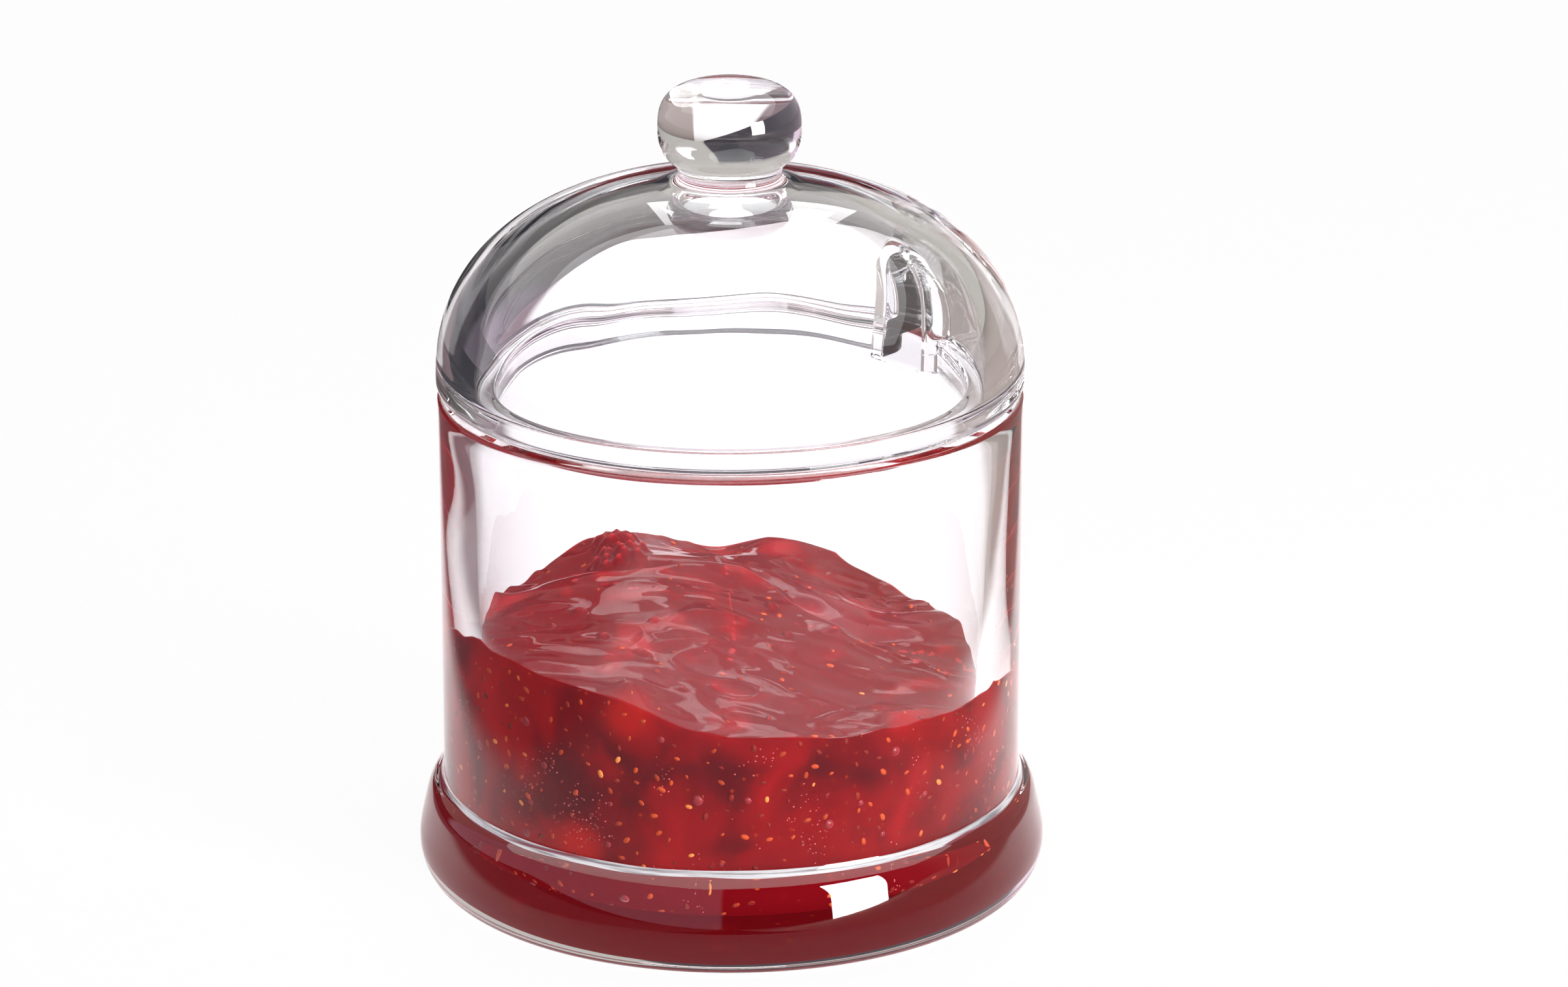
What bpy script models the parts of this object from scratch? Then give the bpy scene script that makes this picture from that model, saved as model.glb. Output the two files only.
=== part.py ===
# Footed jam jar of thick pressed glass: a domed lid with a knob and a spoon niche, and red jam inside.
# Metres, +Z up. The origin is the centre of the foot's underside. +X points out through the niche.
import math

import bmesh
import bpy
from mathutils import Vector, noise

MM = 0.001

# Driving dimensions, in millimetres
BODY_RADIUS = 43.1
WALL = 4.8               # thickness of the jar's wall at DRAFT_HEIGHT
WALL_DRAFT = 0.042       # the inside leans out by this much per unit of height, as a pressed mould needs
DRAFT_HEIGHT = 50.0
INNER_CORNER = 5.5       # round between the wall and the inner floor
JAR_HEIGHT = 74.4
FLOOR = 5.2
FOOT_RADIUS = 46.85
FOOT_WAIST = 5.2         # height of the foot's widest point
# How far the foot's side leans in, in degrees, at heights from the waist to the shoulder
FOOT_LEAN = ((FOOT_WAIST, 0.0), (7.3, 11.0), (11.8, 14.0), (13.4, 30.0), (14.3, 60.0))
BASE_RADIUS = 43.5
RIM_ROUND = 1.5          # round of the rim's inner edge
RIM_OUTER_ROUND = 0.7

LID_RADIUS = 43.4
LID_WALL = 4.4           # thickness of the lid at its crown
DOME_BASE = 76.1         # height where the side of the lid starts to curve in
DOME_RISE = 30.05
DOME_POWER = 2.35        # superellipse exponent, 2 would be a plain ellipse
LID_EDGE_ROUND = 2.4
HOLLOW_RADIUS = 37.5     # the inside of the dome, above the ledge
LEDGE = 77.0             # top of the ring inside the lid
PLUG_DEPTH = 2.8         # how far that ring reaches below the lid's underside
PLUG_WALL = 3.05
PLUG_CLEARANCE = 0.55

KNOB_RADIUS = 10.54
KNOB_MIDDLE = 113.9
KNOB_UPPER = 7.0         # height of the knob above its middle
KNOB_LOWER = 6.9
NECK_RADIUS = 7.6
NECK_FILLET = 1.8

NICHE_WIDTH = 10.6
NICHE_BACK = 33.0        # distance of the niche's back face from the axis
NICHE_TOP = 90.0
NICHE_WALL = 1.6

JAM_LEVEL = 35.8
JAM_SLOPE = 0.079        # rise of the jam's surface along JAM_SLOPE_AZIMUTH
JAM_SLOPE_AZIMUTH = 126.0
RIPPLE_AZIMUTH = -34.0   # the spoon marks run along this direction
RIPPLE_HEIGHT = 0.9

GAP = 0.3                # clear space between solids that touch
TURN_STEPS = 60          # sides of every turned shape

# Mounds and hollows of the jam: azimuth in degrees, distance from the axis, rise and spread
MOUNDS = (
    (116, 10.5, 5.8, 16.0),
    (209, 36.1, 2.1, 6.0),
    (184, 35.6, 3.1, 10.9),
    (44, 34.7, 1.6, 5.0),
    (14, 34.0, -2.7, 10.0),
    (59, 34.1, -3.4, 5.5),
    (116, 37.0, -3.4, 7.0),
    (76, 35.0, -1.0, 5.0),
)
# A whole berry that stands out of the surface: azimuth, distance, berry radius
BERRIES = (
    (100, 25.5, 4.6),
)
DRUPELET = 1.5           # radius of one drupelet of a berry
BUBBLE = (212, 34.5, 1.9, 1.9)


def clear_scene():
    for obj in list(bpy.data.objects):
        bpy.data.objects.remove(obj, do_unlink=True)


def collection(name):
    group = bpy.data.collections.new(name)
    bpy.context.scene.collection.children.link(group)
    return group


def material(name, color, roughness, transmission=0.0):
    mat = bpy.data.materials.new(name)
    mat.use_nodes = True
    shader = mat.node_tree.nodes["Principled BSDF"]
    shader.inputs["Base Color"].default_value = (*color, 1.0)
    shader.inputs["Roughness"].default_value = roughness
    shader.inputs["Metallic"].default_value = 0.0
    shader.inputs["Transmission Weight"].default_value = transmission
    return mat


def arc(center, radius, start, end, steps):
    """Points of a circular arc in the (radius, height) plane, angles in degrees."""
    points = []
    for i in range(steps + 1):
        angle = math.radians(start + (end - start) * i / steps)
        points.append((center[0] + radius * math.cos(angle), center[1] + radius * math.sin(angle)))
    return points


def oval_quarter(center_height, half_width, rise, power, steps, inner_width=0.0):
    """Quarter of a superellipse from its top (inner_width) down to its widest point."""
    points = []
    for i in range(steps + 1):
        angle = math.pi / 2 * (1 - i / steps)
        reach = abs(math.cos(angle)) ** (2 / power) if i else 0.0
        height = math.sin(angle) ** (2 / power) if i < steps else 0.0
        points.append((inner_width + (half_width - inner_width) * reach, center_height + rise * height))
    return points


def turned(name, profile, group, mat=None):
    """Solid turned about Z from a profile of (radius, height) points, outer side top to bottom."""
    mesh = bpy.data.meshes.new(name)
    points = [(radius * MM, 0.0, height * MM) for radius, height in profile]
    edges = [(i, i + 1) for i in range(len(points) - 1)]
    mesh.from_pydata(points, edges, [])
    obj = bpy.data.objects.new(name, mesh)
    group.objects.link(obj)
    screw = obj.modifiers.new("Turn", "SCREW")
    screw.axis = "Z"
    screw.steps = TURN_STEPS
    screw.render_steps = TURN_STEPS
    screw.use_merge_vertices = True
    screw.merge_threshold = 0.00001
    if mat:
        mesh.materials.append(mat)
    return obj


def as_mesh(obj):
    """Replaces an object by the mesh that its modifiers give, with its loose points merged."""
    depsgraph = bpy.context.evaluated_depsgraph_get()
    mesh = bpy.data.meshes.new_from_object(obj.evaluated_get(depsgraph))
    shape = bmesh.new()
    shape.from_mesh(mesh)
    bmesh.ops.remove_doubles(shape, verts=shape.verts, dist=0.00001)
    shape.to_mesh(mesh)
    shape.free()
    name = obj.name
    place = obj.matrix_world.copy()
    group = obj.users_collection[0]
    bpy.data.objects.remove(obj, do_unlink=True)
    solid = bpy.data.objects.new(name, mesh)
    solid.matrix_world = place
    group.objects.link(solid)
    return solid


def arch_prism(name, start, end, half_width, bottom, top, group):
    """Prism along X with an upright, round-topped outline, for the niche and its walls."""
    curve = bpy.data.curves.new(name, "CURVE")
    curve.dimensions = "2D"
    curve.fill_mode = "BOTH"
    curve.extrude = (end - start) / 2 * MM
    outline = [(-half_width, bottom), (half_width, bottom)]
    outline += arc((0.0, top - half_width), half_width, 0, 180, 10)
    spline = curve.splines.new("POLY")
    spline.points.add(len(outline) - 1)
    for point, (across, height) in zip(spline.points, outline):
        point.co = (across * MM, height * MM, 0.0, 1.0)
    spline.use_cyclic_u = True
    prism = bpy.data.objects.new(name, curve)
    prism.location = ((start + end) / 2 * MM, 0.0, 0.0)
    prism.rotation_euler = (math.pi / 2, 0.0, math.pi / 2)
    group.objects.link(prism)
    bpy.context.view_layer.update()
    return as_mesh(prism)


def cut(target, cutter):
    boolean = target.modifiers.new("Cut " + cutter.name, "BOOLEAN")
    boolean.operation = "DIFFERENCE"
    boolean.solver = "EXACT"
    boolean.object = cutter
    cutter.hide_render = True
    cutter.display_type = "WIRE"


def inner_radius(height):
    """Radius of the jar's inside, which is widest at the rim."""
    return BODY_RADIUS - WALL + WALL_DRAFT * (height - DRAFT_HEIGHT)


def foot_profile():
    """Side of the foot, from its waist up to its shoulder."""
    radius = FOOT_RADIUS
    points = [(radius, FOOT_WAIST)]
    for (low, lean_low), (high, lean_high) in zip(FOOT_LEAN, FOOT_LEAN[1:]):
        for i in range(8):
            lean = lean_low + (lean_high - lean_low) * (i + 0.5) / 8
            radius -= (high - low) / 8 * math.tan(math.radians(lean))
            if i in (3, 7):
                points.append((radius, low + (high - low) * (i + 1) / 8))
    return points


def jar_profile():
    """From the middle of the inner floor, up the wall, over the rim and down to the foot."""
    corner = FLOOR + INNER_CORNER
    rim = JAR_HEIGHT - RIM_ROUND
    profile = [(0.0, FLOOR)]
    profile += arc((inner_radius(corner) - INNER_CORNER, corner), INNER_CORNER, -90, 0, 5)
    profile += arc((inner_radius(rim) + RIM_ROUND, rim), RIM_ROUND, 180, 90, 3)
    profile += arc((BODY_RADIUS - RIM_OUTER_ROUND, JAR_HEIGHT - RIM_OUTER_ROUND), RIM_OUTER_ROUND, 90, 0, 3)
    foot = foot_profile()
    turn = FOOT_LEAN[-1][1]
    crease = (foot[-1][0] - BODY_RADIUS) / (1 - math.cos(math.radians(turn)))
    rise = crease * math.sin(math.radians(turn))
    profile += arc((BODY_RADIUS + crease, foot[-1][1] + rise), crease, 180, 180 + turn, 3)[:-1]
    profile += reversed(foot)
    for i in range(1, 6):
        drop = i / 5
        reach = (FOOT_RADIUS - BASE_RADIUS) * math.sqrt(1 - drop ** 2)
        profile.append((BASE_RADIUS + reach, FOOT_WAIST * (1 - drop)))
    profile.append((0.0, 0.0))
    return profile


def dome_height(radius):
    """Height of the lid's outside at a radius."""
    share = min(radius / LID_RADIUS, 1.0)
    return DOME_BASE + DOME_RISE * (1 - share ** DOME_POWER) ** (1 / DOME_POWER)


def lid_profile():
    """Outside of the lid as one full solid: knob, neck, dome, edge, underside and plug."""
    profile = oval_quarter(KNOB_MIDDLE, KNOB_RADIUS, KNOB_UPPER, 3.0, 8)
    crown = dome_height(NECK_RADIUS)
    for i in range(1, 7):
        drop = math.sin(math.pi / 2 * i / 6) ** (2 / 2.47)
        reach = (1 - drop ** 2.47) ** (1 / 2.47)
        point = (KNOB_RADIUS * reach, KNOB_MIDDLE - KNOB_LOWER * drop)
        if point[0] > NECK_RADIUS and point[1] > crown + NECK_FILLET:
            profile.append(point)
    profile += arc((NECK_RADIUS + NECK_FILLET, crown + NECK_FILLET), NECK_FILLET, 180, 262, 3)
    underside = JAR_HEIGHT + GAP
    edge = underside + LID_EDGE_ROUND
    start = math.acos(((NECK_RADIUS + NECK_FILLET + 2.0) / LID_RADIUS) ** (DOME_POWER / 2))
    end = math.asin(((edge - DOME_BASE) / DOME_RISE) ** (DOME_POWER / 2))
    for i in range(12):
        angle = start + (end - start) * i / 11
        radius = LID_RADIUS * math.cos(angle) ** (2 / DOME_POWER)
        profile.append((radius, dome_height(radius)))
    plug = BODY_RADIUS - WALL - PLUG_CLEARANCE
    foot = underside - PLUG_DEPTH
    profile += arc((LID_RADIUS - LID_EDGE_ROUND, edge), LID_EDGE_ROUND, -20, -90, 4)
    profile += [(plug, underside)]
    profile += arc((plug - 0.7, foot + 0.7), 0.7, 0, -90, 2)
    profile.append((0.0, foot))
    return profile


def hollow_profile():
    """Room inside the lid, reaching below its plug."""
    radius = BODY_RADIUS - WALL - PLUG_CLEARANCE - PLUG_WALL
    rise = DOME_RISE - LID_WALL
    dome = oval_quarter(DOME_BASE, HOLLOW_RADIUS, rise, DOME_POWER, 11)
    profile = [point for point in dome if point[1] > LEDGE + 0.8]
    reach = (1 - ((LEDGE - DOME_BASE) / rise) ** DOME_POWER) ** (1 / DOME_POWER)
    below = JAR_HEIGHT - PLUG_DEPTH - 5.0
    profile += [(HOLLOW_RADIUS * reach, LEDGE), (radius, LEDGE), (radius, below), (0.0, below)]
    return profile


def build_jar(group, glass):
    return turned("jar", jar_profile(), group, glass)


def build_lid(group, cutters, glass):
    lid = turned("lid", lid_profile(), group, glass)
    hollow = turned("hollow", hollow_profile(), cutters)
    foot = JAR_HEIGHT + GAP - PLUG_DEPTH
    half = NICHE_WIDTH / 2
    housing = arch_prism("niche_walls", NICHE_BACK - NICHE_WALL, LID_RADIUS + 5, half + NICHE_WALL,
                         foot - 10, NICHE_TOP + NICHE_WALL, cutters)
    niche = arch_prism("niche", NICHE_BACK, LID_RADIUS + 10, half, foot - 5, NICHE_TOP, cutters)
    cut(hollow, housing)
    cut(lid, hollow)
    cut(lid, niche)
    return lid


def polar(azimuth, distance):
    angle = math.radians(azimuth)
    return distance * math.cos(angle), distance * math.sin(angle)


def bump(x, y, azimuth, distance, rise, spread):
    center_x, center_y = polar(azimuth, distance)
    away = (x - center_x) ** 2 + (y - center_y) ** 2
    return rise * math.exp(-away / (2 * spread ** 2))


def berry(x, y, azimuth, distance, radius):
    """Part of a berry that stands out of the jam, with drupelets set in a spiral."""
    center_x, center_y = polar(azimuth, distance)
    height = bump(x, y, azimuth, distance, 0.35 * radius, 0.6 * radius)
    for i in range(14):
        turn = math.radians(137.5 * i)
        reach = radius * math.sqrt((i + 0.5) / 14)
        away = (x - center_x - reach * math.cos(turn)) ** 2 + (y - center_y - reach * math.sin(turn)) ** 2
        if away < DRUPELET ** 2:
            height = max(height, 0.25 * radius + math.sqrt(DRUPELET ** 2 - away))
    return height


def jam_height(x, y):
    """Height of the jam's surface above the foot, in millimetres."""
    rise_x, rise_y = polar(JAM_SLOPE_AZIMUTH, JAM_SLOPE)
    height = JAM_LEVEL + rise_x * x + rise_y * y
    for mound in MOUNDS:
        height += bump(x, y, *mound)
    along_x, along_y = polar(RIPPLE_AZIMUTH, 1.0)
    along = x * along_x + y * along_y
    across = y * along_x - x * along_y
    height += RIPPLE_HEIGHT * noise.noise(Vector((along / 11, across / 5, 3.7)))
    height += 0.4 * RIPPLE_HEIGHT * noise.noise(Vector((along / 5, across / 2.6, 8.1)))
    height += bump(x, y, *BUBBLE)
    for place in BERRIES:
        height += berry(x, y, *place)
    return height


def build_jam(group, jam):
    rings = 24
    corner = FLOOR + GAP + INNER_CORNER
    wide = BODY_RADIUS - WALL - GAP
    profile = [(wide * i / rings, JAM_LEVEL) for i in range(rings + 1)]
    profile += [(inner_radius(26.0) - GAP, 26.0), (inner_radius(18.0) - GAP, 18.0)]
    profile += arc((inner_radius(corner) - GAP - INNER_CORNER, corner), INNER_CORNER, 0, -90, 5)
    profile.append((0.0, FLOOR + GAP))
    body = as_mesh(turned("jam", profile, group, jam))
    for vert in body.data.vertices:
        if abs(vert.co.z - JAM_LEVEL * MM) < 0.00001:
            reach = vert.co.xy.length / MM
            along = vert.co.xy.normalized() if reach > 0.01 else Vector((0.0, 0.0))
            edge = jam_height(*(along * wide))
            reach *= (inner_radius(edge) - GAP) / wide
            vert.co.xy = along * reach * MM
            vert.co.z = jam_height(*(along * reach)) * MM
    return body


def shade(obj):
    obj.data.shade_smooth()
    obj.data.set_sharp_from_angle(angle=math.radians(35))


def main():
    clear_scene()
    parts = collection("Jam jar")
    cutters = collection("Cutters")
    glass = material("Pressed glass", (0.93, 0.93, 0.95), 0.03, 1.0)
    red = material("Raspberry jam", (0.35, 0.012, 0.018), 0.12, 0.25)
    build_jar(parts, glass)
    build_lid(parts, cutters, glass)
    jam = build_jam(parts, red)
    shade(jam)


main()
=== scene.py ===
import math
import random

import bmesh
import bpy
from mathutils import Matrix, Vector, noise


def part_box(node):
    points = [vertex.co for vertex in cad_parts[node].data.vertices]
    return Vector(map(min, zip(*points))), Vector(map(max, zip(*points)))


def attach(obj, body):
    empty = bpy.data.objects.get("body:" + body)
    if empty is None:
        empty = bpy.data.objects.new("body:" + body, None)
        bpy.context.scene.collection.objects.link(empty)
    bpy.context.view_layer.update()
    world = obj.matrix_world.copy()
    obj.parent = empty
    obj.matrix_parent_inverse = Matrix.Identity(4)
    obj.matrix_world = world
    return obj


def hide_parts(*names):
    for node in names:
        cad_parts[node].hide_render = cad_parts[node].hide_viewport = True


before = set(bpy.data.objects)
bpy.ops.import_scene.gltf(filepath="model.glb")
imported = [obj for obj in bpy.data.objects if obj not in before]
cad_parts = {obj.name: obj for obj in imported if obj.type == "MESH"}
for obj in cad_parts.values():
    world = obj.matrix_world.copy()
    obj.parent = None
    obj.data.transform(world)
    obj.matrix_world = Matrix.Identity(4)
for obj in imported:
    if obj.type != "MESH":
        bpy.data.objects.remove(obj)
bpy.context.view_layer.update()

mm = 0.001    # outlines and sizes are in millimetres, and become metres where a mesh is made
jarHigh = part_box("jar")[1]
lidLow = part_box("lid")[0]


def linear(hexColor):    # sRGB hex to the linear values that shaders take
    channels = [int(hexColor[i:i + 2], 16) / 255 for i in (1, 3, 5)]
    return (*[c / 12.92 if c <= 0.04045 else ((c + 0.055) / 1.055) ** 2.4 for c in channels], 1.0)


def addNode(tree, kind, settings={}, inputs={}):    # an input is a constant, or a socket to link
    node = tree.nodes.new(kind)
    for name, value in settings.items():
        setattr(node, name, value)
    for name, value in inputs.items():
        if isinstance(value, bpy.types.NodeSocket):
            tree.links.new(value, node.inputs[name])
        else:
            node.inputs[name].default_value = value
    return node


def newMaterial(name):
    material = bpy.data.materials.new(name)
    material.use_nodes = True
    material.node_tree.nodes.clear()
    return material, material.node_tree


# colours laid over one another: a layer covers what is under it where its value passes from start to end
def layColors(tree, color, layers):
    for value, start, end, layer in layers:
        share = addNode(tree, "ShaderNodeMapRange", settings={"interpolation_type": "SMOOTHSTEP"},
                        inputs={"Value": value, "From Min": start, "From Max": end}).outputs[0]
        color, layer = [linear(c) if isinstance(c, str) else c for c in (color, layer)]
        color = addNode(tree, "ShaderNodeMix", settings={"data_type": "RGBA"},
                        inputs={0: share, 6: color, 7: layer}).outputs[2]
    return color


def fade(value, start, end):    # smooth step from 0 at start to 1 at end
    t = min(max((value - start) / (end - start), 0.0), 1.0)
    return t * t * (3 - 2 * t)


def polar(azimuth, distance):
    angle = math.radians(azimuth)
    return distance * math.cos(angle), distance * math.sin(angle)


# outlines are lists of (radius, height)

def arcPoints(center, radius, start, end, steps):
    angles = [math.radians(start + (end - start) * i / steps) for i in range(steps + 1)]
    return [(center[0] + radius * math.cos(a), center[1] + radius * math.sin(a)) for a in angles]


def linePoints(start, end, steps):    # without its first point
    return [tuple(a + (b - a) * i / steps for a, b in zip(start, end)) for i in range(1, steps + 1)]


def ovalPoints(radius, middle, rise, power, start, end, steps):    # angles from 0 at the side to 90 on top
    points = []
    for i in range(steps + 1):
        angle = math.radians(start + (end - start) * i / steps)
        out = max(math.cos(angle), 0.0) ** (2 / power)
        up = math.copysign(abs(math.sin(angle)) ** (2 / power), angle)
        points.append((radius * out, middle + rise * up))
    return points


# a closed skin from an outline swept round the axis, with single points where it starts and ends
def sweepRound(name, outline, azimuths, place):
    onAxis, merged = 0.001, 0.002
    shape = bmesh.new()
    rings = []
    for row, (radius, height) in enumerate(outline):
        if radius < onAxis:
            rings.append([shape.verts.new(Vector((0, 0, height)) * mm)] * len(azimuths))
            continue
        rings.append([shape.verts.new(Vector(place(radius, height, a, row)) * mm) for a in azimuths])
    for upper, lower in zip(rings, rings[1:]):
        for i in range(len(azimuths)):
            j = (i + 1) % len(azimuths)
            corners = []
            for vert in (upper[i], lower[i], lower[j], upper[j]):
                if vert not in corners:
                    corners.append(vert)
            shape.faces.new(corners)
    bmesh.ops.remove_doubles(shape, verts=shape.verts, dist=merged * mm)
    bmesh.ops.recalc_face_normals(shape, faces=shape.faces)
    mesh = bpy.data.meshes.new(name)
    shape.to_mesh(mesh)
    shape.free()
    mesh.shade_smooth()
    piece = bpy.data.objects.new(name, mesh)
    bpy.context.scene.collection.objects.link(piece)
    return piece


def evenAzimuths(count):
    return [math.tau * i / count for i in range(count)]


print("stage: camera and studio")

view = {
    "imageRight": -34.0,      # azimuth of the image's right-hand side, degrees
    "elevation": 19.2,
    "distance": 900.0,
    "targetHeight": 50.0,
    "targetPixel": (1122.3, 836.3),
    "imageSize": (2408, 1515),
    "focalPixels": 9315.0,
}


def makeCamera():
    right = Vector((*polar(view["imageRight"], 1.0), 0.0))
    away = Vector((*polar(view["imageRight"] + 90, 1.0), 0.0))
    rise = math.radians(view["elevation"])
    ahead = away * math.cos(rise) - Vector((0, 0, math.sin(rise)))
    up = right.cross(ahead)
    target = Vector((0, 0, view["targetHeight"]))
    eye = target - ahead * view["distance"]
    wide, high = view["imageSize"]
    pixel = view["distance"] / view["focalPixels"]
    sideways = (wide / 2 - view["targetPixel"][0]) * pixel
    upwards = (view["targetPixel"][1] - high / 2) * pixel
    aim = target + right * sideways + up * upwards
    camera = bpy.data.objects.new("Camera", bpy.data.cameras.new("Camera"))
    camera.data.sensor_width = 36.0
    camera.data.lens = view["focalPixels"] / wide * camera.data.sensor_width
    camera.data.clip_start = 0.01
    camera.location = eye * mm
    camera.rotation_euler = (aim - eye).to_track_quat("-Z", "Y").to_euler()
    bpy.context.scene.collection.objects.link(camera)
    bpy.context.scene.camera = camera
    return right, away


viewRight, viewAway = makeCamera()

studio = {
    "floorSize": 6.0,         # in metres, and the rest of the floor in millimetres
    "floorBelow": 0.2,
    "floorColor": "#f4f3f3",
    "frontShade": "#958b8d",
    "frontFade": (-100.0, 60.0),    # where the paper passes from its shade in front to white
    "frontEnd": 185.0,        # the white paper, in millimetres from the jar: its end in front, half its width,
    "paperHalf": 100.0,       # its end behind, and how much that end runs aslant
    "paperBehind": 740.0,
    "paperSlant": 2.6,
    "paperTurns": (14.0, 20.0),    # lines turned by degrees to the right, where dark ends and paper widens
    "softEdge": 4.0,
    "leftEdge": (12.0, -14.0),
    "rightEdge": (-6.0, 12.0),
    "paperGlow": 0.45,
    "whiteShare": 0.93,       # of the floor as the camera sees it, and the rest takes the jar's shadow
    "tableFront": "#1f1a1c",
    "throughGlass": "#dcd8da",    # what the viewer's side shows to light that comes through the glass
    "tableLeft": "#77666a",
    "tableRight": "#9a908b",
    "softboxes": (    # name, turn to the right of the camera's side, elevation, distance, size, watts
        ("boxBack", 177.0, 37.0, 1.4, (0.46, 0.34), 2.1),
        ("boxOverhead", 180.0, 84.0, 1.2, (0.50, 0.40), 4.0),
        ("boxWindow", 46.0, 15.5, 1.2, (0.47, 0.67), 26.0),
    ),
    "overheadCard": (1.9, 0.98, 2.6),    # size, height, strength: it shows in the gloss and lights nothing
    "roomDark": "#3b3b40",
    "roomBeige": "#c0bdb6",
    "roomMauve": "#6a5660",
    "roomFront": "#2a2426",
    "roomLean": 0.5,
    "beigeFrom": (13.0, 15.0),    # turns away from straight behind, in degrees
    "mauveFrom": (80.0, 110.0),
    "frontFrom": (115.0, 125.0),
    "beigeRise": (0.25, 0.27),    # heights as the sine of the elevation
    "darkRise": (0.80, 0.92),
    "screenColor": "#f0d8ee",     # a pale screen in front on the left: it shows in the gloss alone
    "screenTurn": (-128.0, -4.0),
    "screenTop": 0.86,
    "screenSoft": 0.05,
}


# coordinates turned to the camera's side: X to its right, Y away from it, Z up
def cameraSide(tree, output):
    where = addNode(tree, "ShaderNodeTexCoord").outputs[output]
    turned = addNode(tree, "ShaderNodeMapping", inputs={
        "Vector": where, "Rotation": (0, 0, math.radians(-view["imageRight"]))}).outputs[0]
    return addNode(tree, "ShaderNodeSeparateXYZ", inputs={0: turned}).outputs


def makeFloor():
    bpy.ops.mesh.primitive_plane_add(size=studio["floorSize"], location=(0, 0, -studio["floorBelow"] * mm))
    floor = bpy.context.object
    floor.name = "studioFloor"
    material, tree = newMaterial("whitePaperFloor")
    side, behind, up = cameraSide(tree, "Object")
    slanted = addNode(tree, "ShaderNodeMath", settings={"operation": "MULTIPLY_ADD"},
                      inputs={0: side, 1: -studio["paperSlant"], 2: behind}).outputs[0]
    half, front, back, soft = (
        studio[key] * mm for key in ("paperHalf", "frontEnd", "paperBehind", "softEdge"))
    shadeStart, shadeEnd = (limit * mm for limit in studio["frontFade"])
    leftOut, leftIn = (limit * mm for limit in studio["leftEdge"])
    rightIn, rightOut = (limit * mm for limit in studio["rightEdge"])
    aslant, widening = (addNode(tree, "ShaderNodeMath", settings={"operation": "MULTIPLY_ADD"}, inputs={
        0: behind, 1: -math.tan(math.radians(turn)), 2: side}).outputs[0] for turn in studio["paperTurns"])
    pastHalf = addNode(tree, "ShaderNodeMath", settings={"operation": "SUBTRACT"},
                       inputs={0: side, 1: half}).outputs[0]
    pastRight = addNode(tree, "ShaderNodeMath", settings={"operation": "MINIMUM"},
                        inputs={0: pastHalf, 1: widening}).outputs[0]
    beyond = layColors(tree, studio["roomDark"], ((aslant, -soft, soft, studio["roomBeige"]),))
    through = addNode(tree, "ShaderNodeLightPath").outputs["Is Transmission Ray"]
    shade, table = (layColors(tree, studio[key], ((through, 0.0, 1.0, studio["throughGlass"]),))
                    for key in ("frontShade", "tableFront"))
    paper = layColors(tree, shade, (
        (behind, shadeStart, shadeEnd, studio["floorColor"]),
        (behind, soft - front, -soft - front, table),
        (pastRight, rightIn, rightOut, studio["tableRight"]),
        (side, leftOut - half, leftIn - half, studio["tableLeft"]),
        (slanted, back - soft, back + soft, beyond),
    ))
    matt = addNode(tree, "ShaderNodeBsdfDiffuse", inputs={"Color": paper})
    glow = addNode(tree, "ShaderNodeEmission", inputs={"Color": paper, "Strength": studio["paperGlow"]})
    lit = addNode(tree, "ShaderNodeAddShader", inputs={0: matt.outputs[0], 1: glow.outputs[0]})
    plain = addNode(tree, "ShaderNodeBsdfDiffuse", inputs={"Color": linear(studio["floorColor"])})
    white = addNode(tree, "ShaderNodeEmission", inputs={"Color": (1, 1, 1, 1), "Strength": 1.0})
    seen = addNode(tree, "ShaderNodeMixShader", inputs={
        0: studio["whiteShare"], 1: plain.outputs[0], 2: white.outputs[0]})
    path = addNode(tree, "ShaderNodeLightPath")
    both = addNode(tree, "ShaderNodeMixShader", inputs={
        0: path.outputs["Is Camera Ray"], 1: lit.outputs[0], 2: seen.outputs[0]})
    addNode(tree, "ShaderNodeOutputMaterial", inputs={"Surface": both.outputs[0]})
    floor.data.materials.append(material)


def makeSoftboxes():
    for name, turn, elevation, distance, size, watts in studio["softboxes"]:
        light = bpy.data.lights.new(name, "AREA")
        light.shape = "RECTANGLE"
        light.size, light.size_y = size
        light.energy = watts
        lamp = bpy.data.objects.new(name, light)
        across, rise = math.radians(turn), math.radians(elevation)
        towards = (viewRight * math.sin(across) - viewAway * math.cos(across)) * math.cos(rise)
        towards = towards + Vector((0, 0, math.sin(rise)))
        lamp.location = towards * distance
        lamp.rotation_euler = (-towards).to_track_quat("-Z", "Y").to_euler()
        lamp.visible_camera = False
        bpy.context.scene.collection.objects.link(lamp)


def makeOverheadCard():
    size, height, strength = studio["overheadCard"]
    bpy.ops.mesh.primitive_plane_add(size=size, location=(0, 0, height))
    card = bpy.context.object
    card.name = "overheadCard"
    material, tree = newMaterial("overheadDiffuser")
    glow = addNode(tree, "ShaderNodeEmission", inputs={"Color": (1, 1, 1, 1), "Strength": strength})
    addNode(tree, "ShaderNodeOutputMaterial", inputs={"Surface": glow.outputs[0]})
    card.data.materials.append(material)
    card.visible_camera = card.visible_diffuse = card.visible_shadow = False


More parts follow.
